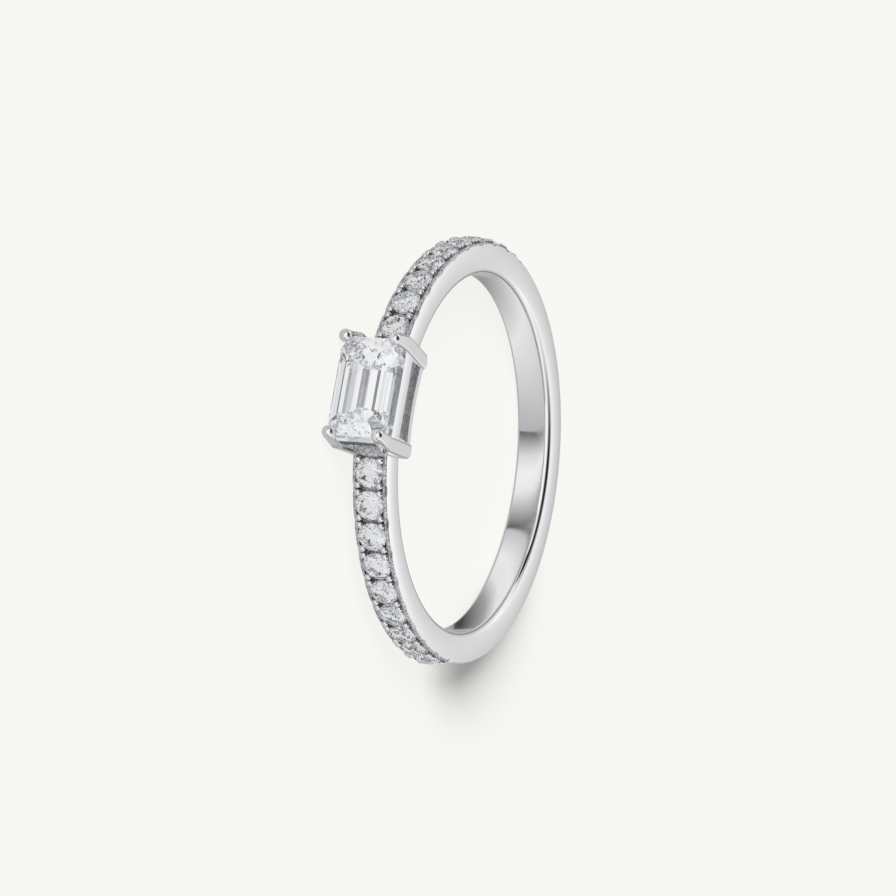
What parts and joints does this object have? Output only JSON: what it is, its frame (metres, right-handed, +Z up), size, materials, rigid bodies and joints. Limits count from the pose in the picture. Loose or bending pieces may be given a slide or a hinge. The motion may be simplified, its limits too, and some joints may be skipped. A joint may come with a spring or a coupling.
{
  "type": "four-prong step-cut stone ring with paved shoulders",
  "caption": "Slim white metal ring with a step-cut clear stone in a pronged setting, between shoulders paved with small round stones.",
  "frame": {"origin": "middle of the finger hole, on its axis and halfway along it", "axes": "+X out through the middle of the large stone, +Y along the band under it, +Z up from the surface that the ring lies on, within two degrees of the finger hole's axis"},
  "size_m": [0.0214, 0.0198, 0.0031],
  "materials": {
    "white_metal": "polished, with a matte cast panel in each long side of the setting",
    "clear_stone": "clear, facet cut and polished"
  },
  "bodies": {
    "root": {"band_and_setting": "white_metal", "centre_stone": "clear_stone"}
  },
  "joints": []
}
